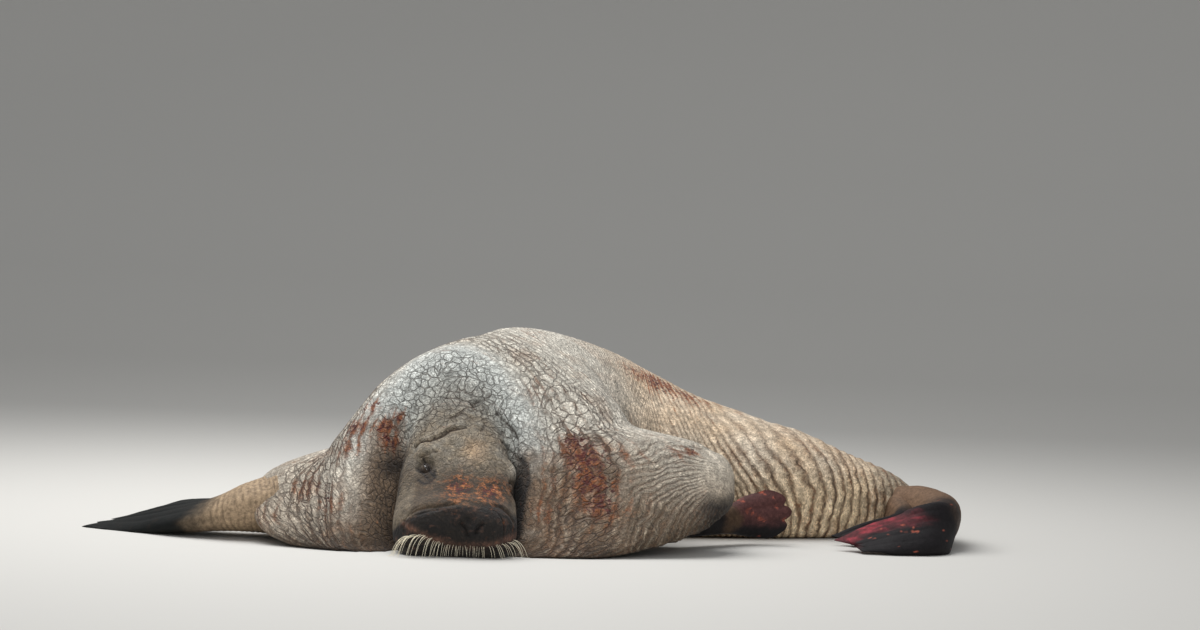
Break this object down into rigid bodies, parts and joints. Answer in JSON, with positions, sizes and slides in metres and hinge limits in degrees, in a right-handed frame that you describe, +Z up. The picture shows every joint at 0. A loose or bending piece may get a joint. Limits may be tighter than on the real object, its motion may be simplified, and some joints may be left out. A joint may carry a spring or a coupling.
{
  "type": "walrus lying on its belly",
  "caption": "Life-size walrus asleep on its belly, head drawn back into the neck, hind body bent to its left and hind flippers folded forward.",
  "frame": {"origin": "on the floor, under the middle of the whole outline seen from above", "axes": "+Z up from the floor; the head looks along -Y; +X is the animal's left, where the hind body lies"},
  "size_m": [2.6252, 1.4955, 0.622],
  "materials": {
    "skin": "creased hide with short pale fur, matt",
    "muzzle_skin": "dark brown hide, slightly damp",
    "flipper_skin": "bare dark hide, slightly damp",
    "eye": "wet and glossy"
  },
  "bodies": {
    "root": {"lower_jaw": "muzzle_skin", "muzzle": "muzzle_skin", "head": "skin", "eye_left": "eye", "eye_right": "eye", "neck": "skin", "torso_front": "skin", "torso_rear": "skin", "hips": "skin", "tail": "skin", "upper_arm_left": "skin", "upper_arm_right": "skin", "fore_flipper_left": "flipper_skin", "fore_flipper_right": "flipper_skin", "hind_flipper_left": "flipper_skin", "hind_flipper_right": "flipper_skin"}
  },
  "joints": []
}
